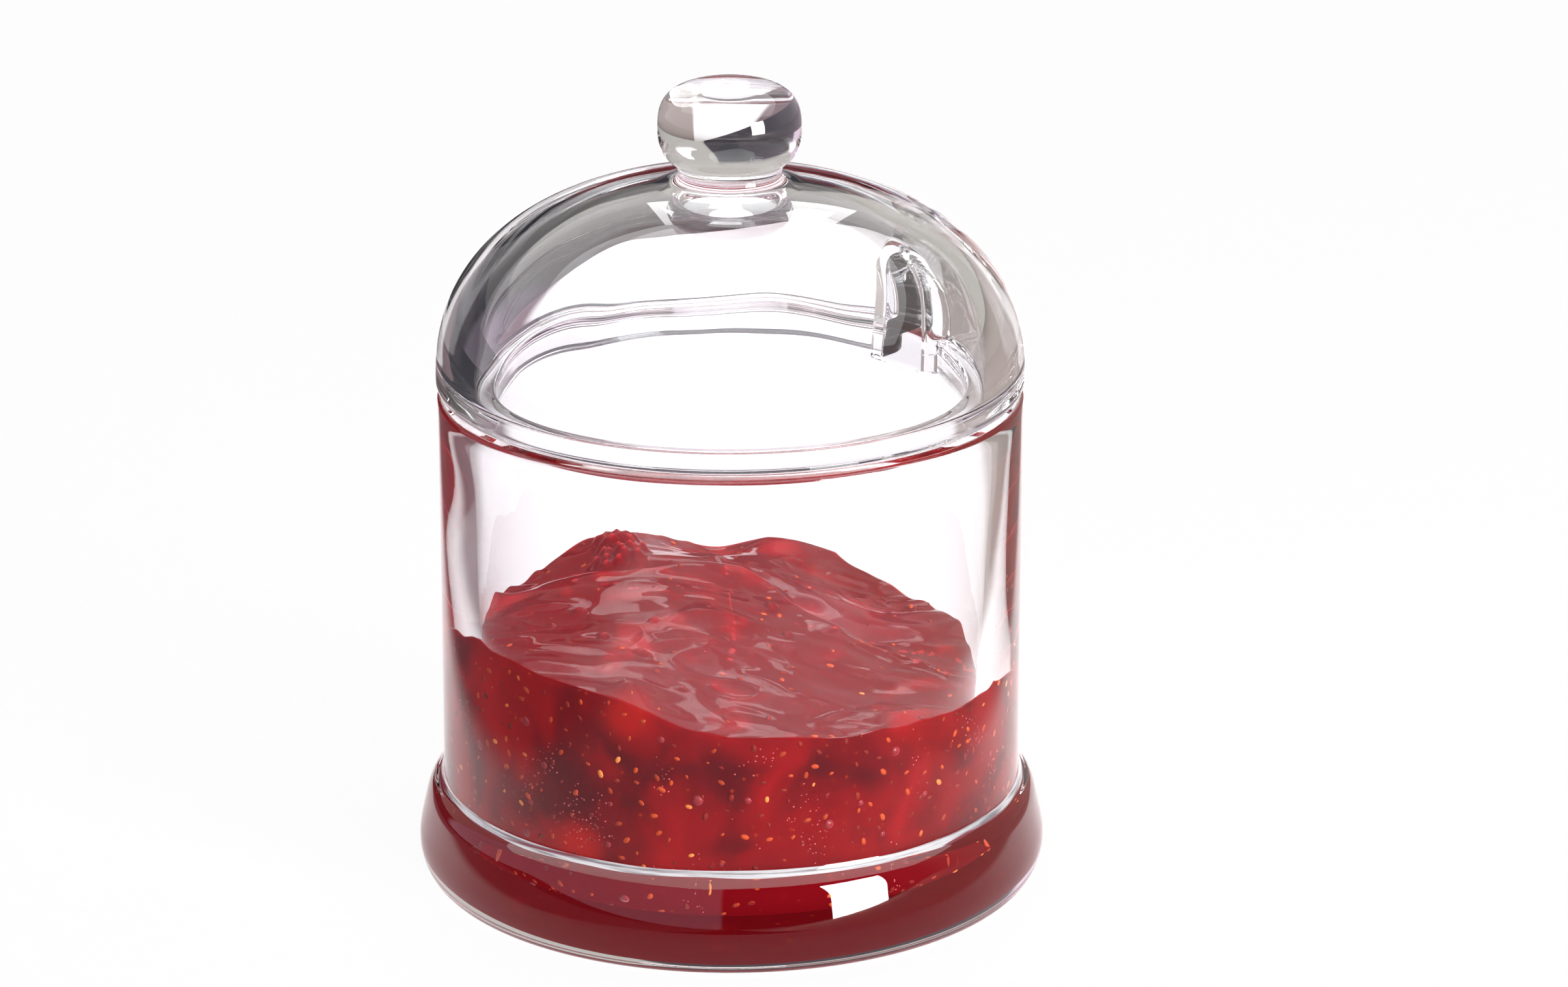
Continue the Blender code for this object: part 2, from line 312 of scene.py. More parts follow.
def makeSky():
    world = bpy.data.worlds.new("studioRoom")
    bpy.context.scene.world = world
    world.use_nodes = True
    tree = world.node_tree
    tree.nodes.clear()
    side, behind, high = cameraSide(tree, "Generated")
    fromBack = addNode(tree, "ShaderNodeMath", settings={"operation": "ARCTAN2"},
                       inputs={0: side, 1: behind}).outputs[0]
    spread = addNode(tree, "ShaderNodeMath", settings={"operation": "ABSOLUTE"},
                     inputs={0: fromBack}).outputs[0]
    leaning = addNode(tree, "ShaderNodeMath", settings={"operation": "MULTIPLY_ADD"},
                      inputs={0: high, 1: studio["roomLean"], 2: fromBack}).outputs[0]
    beigeFrom, mauveFrom, frontFrom, (left, right) = (
        [math.radians(turn) for turn in studio[key]]
        for key in ("beigeFrom", "mauveFrom", "frontFrom", "screenTurn"))
    room = layColors(tree, studio["roomDark"], (
        (leaning, *beigeFrom, studio["roomBeige"]),
        (high, *studio["beigeRise"], studio["roomBeige"]),
        (high, *studio["darkRise"], studio["roomDark"]),
        (spread, *mauveFrom, studio["roomMauve"]),
    ))
    ahead = addNode(tree, "ShaderNodeMath", settings={"operation": "MULTIPLY"},
                    inputs={0: behind, 1: -1.0}).outputs[0]
    fromFront = addNode(tree, "ShaderNodeMath", settings={"operation": "ARCTAN2"},
                        inputs={0: side, 1: ahead}).outputs[0]
    path = addNode(tree, "ShaderNodeLightPath").outputs
    front = layColors(tree, studio["roomFront"],
                      ((path["Is Transmission Ray"], 0.0, 1.0, studio["throughGlass"]),))
    top, soft = studio["screenTop"], studio["screenSoft"]
    screen = layColors(tree, room, (
        (spread, *frontFrom, front),
        (fromFront, right + 0.4 * soft, right - 0.2 * soft, studio["screenColor"]),
        (fromFront, left + soft, left - soft, room),
        (high, top, top + soft, room),
    ))
    seen = layColors(tree, screen, (
        (path["Is Diffuse Ray"], 0.0, 1.0, room), (path["Is Camera Ray"], 0.0, 1.0, "#ffffff")))
    glow = addNode(tree, "ShaderNodeBackground", inputs={"Color": seen, "Strength": 1.0})
    addNode(tree, "ShaderNodeOutputWorld", inputs={"Surface": glow.outputs[0]})


makeFloor()
makeSoftboxes()
makeOverheadCard()
makeSky()
bpy.context.scene.view_settings.view_transform = "Standard"
for setting, bounces in (("max_bounces", 24), ("transmission_bounces", 20), ("glossy_bounces", 12),
                         ("diffuse_bounces", 4), ("transparent_max_bounces", 24)):
    setattr(bpy.context.scene.cycles, setting, bounces)


print("stage: glass")

# pressed soda-lime glass, fire-polished: clear and glossy, a little uneven in thickness
def makeGlass():
    material, tree = newMaterial("pressedSodaLimeGlass")
    glass = addNode(tree, "ShaderNodeBsdfPrincipled", inputs={
        "Base Color": linear("#fbfbfd"), "Roughness": 0.0, "IOR": 1.5, "Transmission Weight": 1.0})
    clear = addNode(tree, "ShaderNodeBsdfTransparent", inputs={"Color": linear("#f4f4f6")})
    path = addNode(tree, "ShaderNodeLightPath")
    mix = addNode(tree, "ShaderNodeMixShader",
                  inputs={0: path.outputs["Is Shadow Ray"], 1: glass.outputs[0], 2: clear.outputs[0]})
    addNode(tree, "ShaderNodeOutputMaterial", inputs={"Surface": mix.outputs[0]})
    return material


glassMaterial = makeGlass()

jar = {
    "bodyRadius": 43.1,
    "wall": 4.8,
    "height": jarHigh.z / mm,
    "floor": 5.2,
    "footRadius": jarHigh.x / mm,
    "footLean": (    # height, degrees inward
        (5.2, 0.0), (7.3, 11.0), (11.8, 14.0), (13.4, 30.0), (14.3, 60.0),
    ),
    "baseRadius": 43.5,
    "rimRound": 1.5,        # at the rim's inner edge
    "rimOuterRound": 0.7,
    "innerCorner": 5.5,
    "draft": 0.042,         # the inner wall leans out by this much per unit of height
    "draftMiddle": 50.0,
    "waves": 0.10,          # how far the inner wall swells in and out
    "waveLength": 17.0,
    "calmEnds": ((8, 16), (2, 8)),    # the swell grows over these heights above the foot and below the rim
    "footSteps": 12,
    "columns": 240,
}
jar["inner"] = jar["bodyRadius"] - jar["wall"]


def innerRadius(height):
    return jar["inner"] + jar["draft"] * (height - jar["draftMiddle"])


def uneven(x, y, z, depth, length):
    return depth * noise.noise(Vector((x, y, z)) / length)


def footPoints():    # up the foot's side, from its waist to its shoulder
    radius, points = jar["footRadius"], [(jar["footRadius"], jar["footLean"][0][0])]
    steps = jar["footSteps"]
    for (low, leanLow), (high, leanHigh) in zip(jar["footLean"], jar["footLean"][1:]):
        for i in range(steps):
            lean = leanLow + (leanHigh - leanLow) * (i + 0.5) / steps
            radius -= (high - low) / steps * math.tan(math.radians(lean))
            points.append((radius, low + (high - low) * (i + 1) / steps))
    return points


def creaseRound(foot):    # the hollow round where the body meets the foot: its centre, radius and turn
    lean = jar["footLean"][-1][1]
    radius = (foot[-1][0] - jar["bodyRadius"]) / (1 - math.cos(math.radians(lean)))
    return (jar["bodyRadius"] + radius, foot[-1][1] + radius * math.sin(math.radians(lean))), radius, lean


def makeJar():
    inner, outer, top = jar["inner"], jar["bodyRadius"], jar["height"]
    corner, edge = jar["innerCorner"], jar["rimRound"]
    outline = [(0.0, jar["floor"])]
    low = innerRadius(jar["floor"] + corner)
    outline += linePoints((0.0, jar["floor"]), (low - corner, jar["floor"]), 10)
    outline += arcPoints((low - corner, jar["floor"] + corner), corner, -90, 0, 10)[1:]
    high = innerRadius(top - edge)
    outline += linePoints(outline[-1], (high, top - edge), 40)
    outline += arcPoints((high + edge, top - edge), edge, 180, 90, 8)[1:]
    innerRows = len(outline) - 1
    outerEdge = jar["rimOuterRound"]
    outline += arcPoints((outer - outerEdge, top - outerEdge), outerEdge, 90, 0, 8)
    foot = footPoints()
    (creaseX, creaseZ), crease, lean = creaseRound(foot)
    outline += linePoints((outer, top - outerEdge), (outer, creaseZ), 36)
    outline += arcPoints((creaseX, creaseZ), crease, 180, 180 + lean, 10)[1:-1]
    outline += foot[::-1]
    waist = jar["footLean"][0][0]
    for out, up in ovalPoints(1.0, 0.0, 1.0, 2.0, 0, 90, 14)[1:]:
        outline.append((jar["baseRadius"] + (jar["footRadius"] - jar["baseRadius"]) * out, waist * (1 - up)))
    outline += linePoints(outline[-1], (0.0, 0.0), 12)

    def place(radius, height, azimuth, row):
        x, y = math.cos(azimuth), math.sin(azimuth)
        if row < innerRows and radius > inner - 4 and jar["floor"] + corner < height < top - edge:
            aboveFloor, belowRim = jar["calmEnds"]
            calm = fade(height, *aboveFloor) * fade(top - height, *belowRim)
            radius += calm * uneven(x * inner, y * inner, height, jar["waves"], jar["waveLength"])
        return x * radius, y * radius, height

    piece = sweepRound("jarGlass", outline, evenAzimuths(jar["columns"]), place)
    piece.data.materials.append(glassMaterial)
    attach(piece, "root")
    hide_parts("jar")


makeJar()

# the painted light line where the wall turns into the foot: its colours and glow stand in for light in the
# glass
paintedFootLight = {
    "depth": 0.12,          # how far under the glass it lies
    "thickness": 0.2,
    "arc": (14.0, 46.0),    # where on the hollow round it lies, in degrees from its upper edge
    "wander": (3.0, 9.0),   # how far its edges wander, in degrees, and over how many millimetres
    "streak": (9.0, 0.28),  # length and height of a streak
    "streakScale": 0.6,
    "placeScale": 0.22,     # of the rosy places
    "rows": 8,
    "bright": "#efecee",
    "gray": "#8f898d",
    "rosy": "#8c3443",
    "glow": 0.6,
    "matt": 0.15,
}


# painted light: a glowing strip with soft gray streaks, just under the glass round where the wall turns into
# the foot, stands in for the bright line the glass shows there
def makePaintedFootLight():
    material, tree = newMaterial("paintedLightInGlassStep")
    where = addNode(tree, "ShaderNodeTexCoord").outputs["Object"]
    length, height = paintedFootLight["streak"]
    drawn = addNode(tree, "ShaderNodeMapping", inputs={
        "Vector": where, "Scale": (1000 / length, 1000 / length, 1000 / height)}).outputs[0]
    streaks = addNode(tree, "ShaderNodeTexNoise", inputs={
        "Vector": drawn, "Scale": paintedFootLight["streakScale"], "Detail": 3.0, "Roughness": 0.6}).outputs["Fac"]
    places = addNode(tree, "ShaderNodeTexNoise", inputs={
        "Vector": drawn, "Scale": paintedFootLight["placeScale"], "Detail": 2.0, "Distortion": 0.8}).outputs["Fac"]
    color = layColors(tree, paintedFootLight["gray"], ((streaks, 0.34, 0.56, paintedFootLight["bright"]),
                                               (places, 0.56, 0.64, paintedFootLight["rosy"])))
    matt = addNode(tree, "ShaderNodeVectorMath", settings={"operation": "SCALE"},
                   inputs={0: color, "Scale": paintedFootLight["matt"]}).outputs[0]
    line = addNode(tree, "ShaderNodeBsdfPrincipled", inputs={
        "Base Color": matt, "Emission Color": color, "Emission Strength": paintedFootLight["glow"],
        "Roughness": 0.4, "Specular IOR Level": 0.2})
    addNode(tree, "ShaderNodeOutputMaterial", inputs={"Surface": line.outputs[0]})
    center, crease, lean = creaseRound(footPoints())
    near, far = crease + paintedFootLight["depth"], crease + paintedFootLight["depth"] + paintedFootLight["thickness"]
    rows = paintedFootLight["rows"]
    outline = [(near, i / rows) for i in range(rows + 1)] + [(far, 1 - i / rows) for i in range(rows + 1)]
    first, last = paintedFootLight["arc"]
    depth, length = paintedFootLight["wander"]

    def place(distance, share, azimuth, row):
        x, y = math.cos(azimuth), math.sin(azimuth)
        start = first + 2 * uneven(x * near * 20, y * near * 20, 0.0, depth, length)
        end = last + 2 * uneven(x * near * 20, y * near * 20, 40.0, 2 * depth, length)
        turn = math.radians(180 + start + (end - start) * share)
        radius = center[0] + distance * math.cos(turn)
        return x * radius, y * radius, center[1] + distance * math.sin(turn)

    piece = sweepRound("jarFootPaintedLight", outline + outline[:1], evenAzimuths(jar["columns"]), place)
    piece.data.materials.append(material)
    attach(piece, "root")
    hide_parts("jar")


makePaintedFootLight()

lid = {
    "radius": 43.4,
    "crownWall": 4.4,
    "domeBase": 76.1,
    "domeRise": 30.05,
    "domePower": 2.35,
    "edgeRound": 2.4,
    "underside": jar["height"] + 0.3,
    "foot": lidLow.z / mm,
    "plugRadius": jar["inner"] - 0.55,
    "plugWall": 3.05,
    "plugRound": 0.7,
    "hollowRadius": 37.5,
    "ledge": 77.0,         # top of the ring inside the lid
    "ledgeRound": 0.6,
    "knobRadius": 10.54,
    "knobMiddle": 113.9,
    "knobUpper": 7.0,      # rise over the middle and drop under it, and how square each half is
    "knobUpperPower": 3.0,
    "knobLower": 6.9,
    "knobLowerPower": 2.47,
    "neckRadius": 7.6,
    "neckFillet": 1.8,
    "nicheWidth": 10.6,
    "nicheBack": 33.0,
    "nicheTop": 90.0,
    "nicheWall": 1.6,
    "nicheSoft": 0.5,      # half the width over which the niche's edges are rounded
    "nicheZone": 10.0,     # half the width with close columns
    "heldTurns": (0.26, 0.5),    # columns run level with the niche within this many radians of its middle,
    "heldRadii": (22, 32),       # and at this distance from the axis
    "waves": 0.2,
    "waveLength": 12.0,
    "waveHeights": (78, 84),
    "waveRadius": 8.0,     # nearer to the axis the waves die away
    "columns": (80, 150),
}


def domeHeight(radius):
    share = min(radius / lid["radius"], 1.0) ** lid["domePower"]
    return lid["domeBase"] + lid["domeRise"] * (1 - share) ** (1 / lid["domePower"])


def lidOutline():
    power = lid["domePower"]
    wide, middle = lid["knobRadius"], lid["knobMiddle"]
    outline = ovalPoints(wide, middle, lid["knobUpper"], lid["knobUpperPower"], 90, 0, 22)
    outline[0] = (0.0, outline[0][1])
    crown = domeHeight(lid["neckRadius"])
    lower = ovalPoints(wide, middle, lid["knobLower"], lid["knobLowerPower"], 0, -80, 18)
    for radius, height in lower[1:]:
        if radius > lid["neckRadius"] and height > crown + lid["neckFillet"]:
            outline.append((radius, height))
    bend = lid["neckFillet"]
    outline += arcPoints((lid["neckRadius"] + bend, crown + bend), bend, 180, 262, 10)
    edge = lid["underside"] + lid["edgeRound"]
    start = math.degrees(math.acos(((lid["neckRadius"] + bend + 1.0) / lid["radius"]) ** (power / 2)))
    end = math.degrees(math.asin(((edge - lid["domeBase"]) / lid["domeRise"]) ** (power / 2)))
    outline += ovalPoints(lid["radius"], lid["domeBase"], lid["domeRise"], power, start, end, 90)
    outline += arcPoints((lid["radius"] - lid["edgeRound"], edge), lid["edgeRound"], -8, -90, 8)
    outline += linePoints(outline[-1], (lid["plugRadius"], lid["underside"]), 4)
    plugEnd = lid["plugRound"]
    outline += linePoints(outline[-1], (lid["plugRadius"], lid["foot"] + plugEnd), 8)
    outline += arcPoints((lid["plugRadius"] - plugEnd, lid["foot"] + plugEnd), plugEnd, 0, -90, 4)[1:]
    turnRow = len(outline)
    plugInner = lid["plugRadius"] - lid["plugWall"]
    outline += arcPoints((plugInner + plugEnd, lid["foot"] + plugEnd), plugEnd, -90, -180, 4)
    ledge, bend = lid["ledge"], lid["ledgeRound"]
    outline += linePoints(outline[-1], (plugInner, ledge - bend), 14)
    outline += arcPoints((plugInner + bend, ledge - bend), bend, 180, 90, 5)[1:]
    rise = lid["domeRise"] - lid["crownWall"]
    start = math.degrees(math.asin(((ledge + bend - lid["domeBase"]) / rise) ** (power / 2)))
    hollow = ovalPoints(lid["hollowRadius"], lid["domeBase"], rise, power, start, 90, 90)
    outline += linePoints(outline[-1], (hollow[0][0] - bend, ledge), 6)
    outline += arcPoints((hollow[0][0] - bend, ledge + bend), bend, -90, 0, 5)[1:]
    outline += hollow[1:]
    outline[-1] = (0.0, outline[-1][1])
    return outline, turnRow


def lidAzimuths():
    halfZone = math.asin(lid["nicheZone"] / lid["radius"])
    fine, coarse = lid["columns"]
    near = [halfZone * (2 * i / fine - 1) for i in range(fine)]
    rest = [halfZone + (math.tau - 2 * halfZone) * i / coarse for i in range(coarse)]
    return near + rest


def inArch(y, z, half, top):    # over 0 inside the round-topped outline, in millimetres to its edge
    if z < top - half:
        return half - abs(y)
    return half - math.hypot(y, z - (top - half))


def makeLid():
    outline, turnRow = lidOutline()
    soft = lid["nicheSoft"]

    def place(radius, height, azimuth, row):
        side = azimuth if azimuth < math.pi else azimuth - math.tau
        held = (1 - fade(abs(side), *lid["heldTurns"])) * fade(radius, *lid["heldRadii"])
        y = math.sin(azimuth) * (radius + (lid["radius"] - radius) * held)
        x = math.sqrt(max(radius ** 2 - y ** 2, 0.0)) * math.copysign(1, math.cos(azimuth))
        if row >= turnRow:
            swell = uneven(x, y, height, lid["waves"], lid["waveLength"]) * fade(height, *lid["waveHeights"])
            x *= 1 + swell / max(radius, lid["waveRadius"])
            y *= 1 + swell / max(radius, lid["waveRadius"])
        back, half, top = lid["nicheBack"], lid["nicheWidth"] / 2, lid["nicheTop"]
        if row >= turnRow:
            back, half, top = back - lid["nicheWall"], half + lid["nicheWall"], top + lid["nicheWall"]
        if x > back:
            x += (back - x) * fade(inArch(y, height, half, top), -soft, soft)
        return x, y, height

    piece = sweepRound("lidGlass", outline, lidAzimuths(), place)
    piece.data.materials.append(glassMaterial)
    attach(piece, "root")
    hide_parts("lid")


makeLid()


print("stage: jam")

jam = {
    "level": 35.8,
    "slope": 0.079,
    "slopeAzimuth": 126.0,
    "rippleAzimuth": -34.0,
    "rippleHeight": 0.9,
    "ripples": ((11.0, 5.0, 1.0, 3.7), (5.0, 2.6, 0.12, 8.1)),    # length, width, share of the height, seed
    "mounds": (    # azimuth, distance, rise, spread
        (116, 10.5, 5.8, 16.0),
        (209, 36.1, 2.1, 6.0),
        (184, 35.6, 3.1, 10.9),
        (44, 34.7, 1.6, 5.0),
        (14, 34.0, -2.7, 10.0),
        (59, 34.1, -3.4, 5.5),
        (116, 37.0, -3.4, 7.0),
        (76, 35.0, -1.0, 5.0),
    ),
    "berries": ((100, 25.5, 4.2), (92, 31.5, 3.4)),    # azimuth, distance, radius
    "drupelet": 1.5,
    "drupelets": 14,
    "bubble": (212, 34.5, 1.9, 1.9),
    "innerEnds": (25, 36),         # lumps and the crest die away towards the wall
    "lumps": (15.0, 12.0, 1.5, 6.3),    # length, width, rise and seed, and so for the next two
    "bends": (15.0, 11.0, 3.0, 2.2),    # how the folds wander
    "folds": ((19.0, 12.0, 0.7, 15.3), (10.0, 6.5, 0.25, 4.4)),
    "crest": (    # where the gel stands up in a ridge: along the spoon marks and across them
        (-37, 4), (-33, 9), (-26.5, 13.5), (-19.7, 10), (-11.7, 9.5), (-4.4, 12), (1.7, 15), (6.6, 11.5),
        (11.5, 3.5), (16.3, -0.2), (20, -0.3), (26, 0.8), (35, -0.5),
    ),
    "crestRise": 0.9,
    "crestHollow": 1.3,     # how deep the gel lies behind the ridge
    "crestWidths": (3.2, 0.9, 2.6),    # of the gentle slope, the steep one and the hollow
    "blisters": 14,         # small gas bubbles under the skin
    "blisterReach": 34.0,
    "blisterSizes": (0.45, 1.1),
    "intoWall": 0.3,        # how far the jam lies inside the glass, so that no air shows between
    "columns": 380,
    "rings": 170,
    "sideRows": 24,
}


def bump(x, y, azimuth, distance, rise, spread):
    centerX, centerY = polar(azimuth, distance)
    return rise * math.exp(-((x - centerX) ** 2 + (y - centerY) ** 2) / (2 * spread ** 2))


def berry(x, y, azimuth, distance, radius):    # drupelets set in a spiral
    centerX, centerY = polar(azimuth, distance)
    if math.hypot(x - centerX, y - centerY) > 2.6 * radius:
        return 0.0
    height = bump(x, y, azimuth, distance, 0.2 * radius, 0.6 * radius)
    count = jam["drupelets"]
    for i in range(count):
        turn = math.radians(137.5 * i)
        reach = radius * math.sqrt((i + 0.5) / count)
        away = (x - centerX - reach * math.cos(turn)) ** 2 + (y - centerY - reach * math.sin(turn)) ** 2
        height += 1.1 * jam["drupelet"] * math.exp(-away / (0.36 * jam["drupelet"] ** 2))
    return height


def blisterPlaces():
    chance = random.Random(11)
    places = []
    for i in range(jam["blisters"]):
        distance = jam["blisterReach"] * math.sqrt(chance.random())
        x, y = polar(chance.uniform(0, 360), distance)
        places.append((x, y, chance.uniform(*jam["blisterSizes"])))
    return places


blisters = blisterPlaces()


# a ridge with a steep face before it and a hollow behind it
def crest(along, across):
    nearest, behind = 99.0, 0.0
    for (a, b), (c, d) in zip(jam["crest"], jam["crest"][1:]):
        share = ((along - a) * (c - a) + (across - b) * (d - b)) / ((c - a) ** 2 + (d - b) ** 2)
        share = min(max(share, 0.0), 1.0)
        offAlong, offAcross = along - a - (c - a) * share, across - b - (d - b) * share
        away = math.hypot(offAlong, offAcross)
        if away < nearest:
            nearest, behind = away, offAcross
    gentle, steep, hollow = jam["crestWidths"]
    rise = jam["crestRise"] * (0.55 + 0.9 * noise.noise(Vector((along / 8, across / 8, 9.4))))
    if behind < 0:
        return rise * math.exp(-(nearest / gentle) ** 2)
    dip = jam["crestHollow"] * (nearest / hollow) * math.exp(0.5 - 0.5 * (nearest / hollow) ** 2)
    return rise * math.exp(-(nearest / steep) ** 2) - dip


def jamHeight(x, y):
    riseX, riseY = polar(jam["slopeAzimuth"], jam["slope"])
    height = jam["level"] + riseX * x + riseY * y
    height += sum(bump(x, y, *mound) for mound in jam["mounds"])
    alongX, alongY = polar(jam["rippleAzimuth"], 1.0)
    along = x * alongX + y * alongY
    across = y * alongX - x * alongY
    inside = 1 - fade(math.hypot(x, y), *jam["innerEnds"])
    ripple = jam["rippleHeight"] * (1 - 0.5 * inside)
    for length, width, share, seed in jam["ripples"]:
        height += share * ripple * noise.noise(Vector((along / length, across / width, seed)))
    length, width, rise, seed = jam["lumps"]
    lump = rise * noise.noise(Vector((along / length, across / width, seed)))
    height += inside * (lump + crest(along, across))
    length, width, rise, seed = jam["bends"]
    bend = rise * noise.noise(Vector((along / length, across / width, seed)))
    for length, width, rise, seed in jam["folds"]:
        fold = 1 - 3.0 * abs(noise.noise(Vector(((along + bend) / length, (across + bend) / width, seed))))
        height += rise * max(fold, 0.0) ** 2.5 * fade(noise.noise(Vector((x, y, seed)) / 13), -0.1, 0.35)
    for centerX, centerY, size in blisters:
        away = ((x - centerX) ** 2 + (y - centerY) ** 2) / size ** 2
        if away < 1:
            height += 0.75 * size * math.sqrt(1 - away)
    height += bump(x, y, *jam["bubble"])
    height += sum(berry(x, y, *place) for place in jam["berries"])
    return height


jamLook = {
    "deep": "#5c0c14",
    "body": "#8e1016",
    "clear": "#a6161a",
    "topDeep": "#880a14",
    "topClear": "#b8141e",
    "cloudSize": 7.5,        # millimetres from one dark fruit piece to the next
    "pulpSize": 2.2,
    "pulpShare": 0.4,
    "low": "#7c0a14",        # painted shade on the gel below the wall's foot, where the glass lets in less light
    "lowShadeEnds": (15.5, 10.5),
    "buried": "#b8401c",     # seeds dimmed by the gel over them
    "buriedSpacing": 1.5,
    "buriedShare": 0.55,
    "sideGlow": 0.60,        # a painted glow that stands in for light out of the gel, and the share of its colour that its surface scatters
    "sideMatt": 0.30,
    "topHollowPaintedShade": "#640812",     # painted shade between drupelets and lumps, and painted light along thin ridges, by pointiness
    "topRidgePaintedLight": "#c4242c",
    "hollowShadeEnds": (0.49, 0.44),
    "ridgeLightEnds": (0.525, 0.585),
    "topGlow": 0.44,
    "topMatt": 0.30,
    "patches": (    # azimuth, distance, height, radius, colour and its share
        (200, 38, 25, 10.0, "#4c0a14", 0.7), (187, 38, 20, 7.0, "#450a14", 0.55),
        (214, 38, 37, 6.0, "#c01a14", 0.6), (202, 38, 15, 6.5, "#c01a14", 0.65),
        # the pink patch at 300 degrees is a painted haze of light on the wall's right
        (262, 38, 18, 8.0, "#b2181a", 0.35), (300, 38, 28, 9.0, "#b23038", 0.4),
        (20, 38, 18, 9.0, "#450a14", 0.65), (75, 38, 24, 8.0, "#c81a12", 0.5),
        # the bright patch at 43 degrees, high at the back, is a painted glow of light through the thin crest
        (120, 38, 16, 8.0, "#450a14", 0.75), (43, 33, 41, 9.0, "#e0222a", 0.8),
        # the pink patch at 350 degrees, on the top's right, is a painted reflection haze
        (350, 24, 36, 20.0, "#b03c48", 0.4), (260, 16, 39, 11.0, "#8c0e16", 0.5),
    ),
}


# cooked berry jam, set with pectin: a dark red gel with paler pulp, wet and glossy where it meets the air
def addGelColors(tree, deep, body, clear):
    where = addNode(tree, "ShaderNodeTexCoord").outputs["Object"]
    cloud = addNode(tree, "ShaderNodeTexNoise", inputs={
        "Vector": where, "Scale": 1000 / jamLook["cloudSize"] * 0.6, "Detail": 2.5, "Roughness": 0.5,
        "Distortion": 0.6}).outputs["Fac"]
    pulp = addNode(tree, "ShaderNodeTexNoise", inputs={
        "Vector": where, "Scale": 1000 / jamLook["pulpSize"] * 0.6, "Detail": 3.0,
        "Roughness": 0.6}).outputs["Fac"]
    color = layColors(tree, deep, ((cloud, 0.30, 0.55, body), (cloud, 0.52, 0.72, clear)))
    # patches of darker and brighter gel, some of them painted light as noted in the table
    for azimuth, distance, height, radius, patch, share in jamLook["patches"]:
        place = Vector((*polar(azimuth, distance), height)) * mm
        away = addNode(tree, "ShaderNodeVectorMath", settings={"operation": "DISTANCE"},
                       inputs={0: where, 1: place}).outputs["Value"]
        near = addNode(tree, "ShaderNodeMapRange", settings={"interpolation_type": "SMOOTHSTEP"}, inputs={
            "Value": away, "From Min": radius * mm, "From Max": radius * 0.2 * mm, "To Max": share}).outputs[0]
        color = layColors(tree, color, ((near, 0.0, 1.0, patch),))
    # painted shade on the gel low down, below the wall's foot
    height = addNode(tree, "ShaderNodeSeparateXYZ", inputs={0: where}).outputs["Z"]
    start, end = (limit * mm for limit in jamLook["lowShadeEnds"])
    color = layColors(tree, color, ((height, start, end, jamLook["low"]),))
    cells = addNode(tree, "ShaderNodeTexVoronoi", inputs={
        "Vector": where, "Scale": 1000 / jamLook["buriedSpacing"]}).outputs
    chance = addNode(tree, "ShaderNodeSeparateXYZ", inputs={0: cells["Color"]}).outputs[0]
    dimmed = addNode(tree, "ShaderNodeMapRange", inputs={
        "Value": chance, "From Min": 0.5, "From Max": 1.0, "To Max": jamLook["buriedShare"]}).outputs[0]
    speck = addNode(tree, "ShaderNodeMapRange", settings={"interpolation_type": "SMOOTHSTEP"}, inputs={
        "Value": cells["Distance"], "From Min": 0.26, "From Max": 0.12, "To Max": dimmed}).outputs[0]
    color = layColors(tree, color, ((speck, 0.0, 1.0, jamLook["buried"]),))
    pulpShare = addNode(tree, "ShaderNodeMapRange", inputs={
        "Value": pulp, "From Min": 0.50, "From Max": 0.78, "To Max": jamLook["pulpShare"]}).outputs[0]
    return layColors(tree, color, ((pulpShare, 0.0, 1.0, clear),))


def makeJamMaterials():
    # against the glass no gloss shows, for the gel and the glass bend light alike
    kinds = (("jamGelAgainstGlass", ("deep", "body", "clear"), "side", {
                 "Roughness": 1.0, "Specular IOR Level": 0.0}),
             ("jamGelWetSurface", ("topDeep", "topDeep", "topClear"), "top", {
                 "Roughness": 0.03, "IOR": 1.42, "Specular IOR Level": 0.12, "Subsurface Weight": 0.4,
                 "Subsurface Scale": 0.0025, "Subsurface Radius": (1.0, 0.10, 0.08)}))
    made = []
    for name, colors, place, surface in kinds:
        material, tree = newMaterial(name)
        color = addGelColors(tree, *(jamLook[key] for key in colors))
        if place == "top":
            # pointiness paints shade into the hollows and light onto thin ridges
            bent = addNode(tree, "ShaderNodeNewGeometry").outputs["Pointiness"]
            color = layColors(tree, color, ((bent, *jamLook["hollowShadeEnds"], jamLook["topHollowPaintedShade"]),
                                            (bent, *jamLook["ridgeLightEnds"], jamLook["topRidgePaintedLight"])))
        matt = addNode(tree, "ShaderNodeVectorMath", settings={"operation": "SCALE"},
                       inputs={0: color, "Scale": jamLook[place + "Matt"]}).outputs[0]
        # the emission is a painted glow, standing in for light that passes through the gel
        skin = addNode(tree, "ShaderNodeBsdfPrincipled", inputs={
            "Base Color": matt, "Emission Color": color,
            "Emission Strength": jamLook[place + "Glow"], **surface})
        addNode(tree, "ShaderNodeOutputMaterial", inputs={"Surface": skin.outputs[0]})
        made.append(material)
    return made


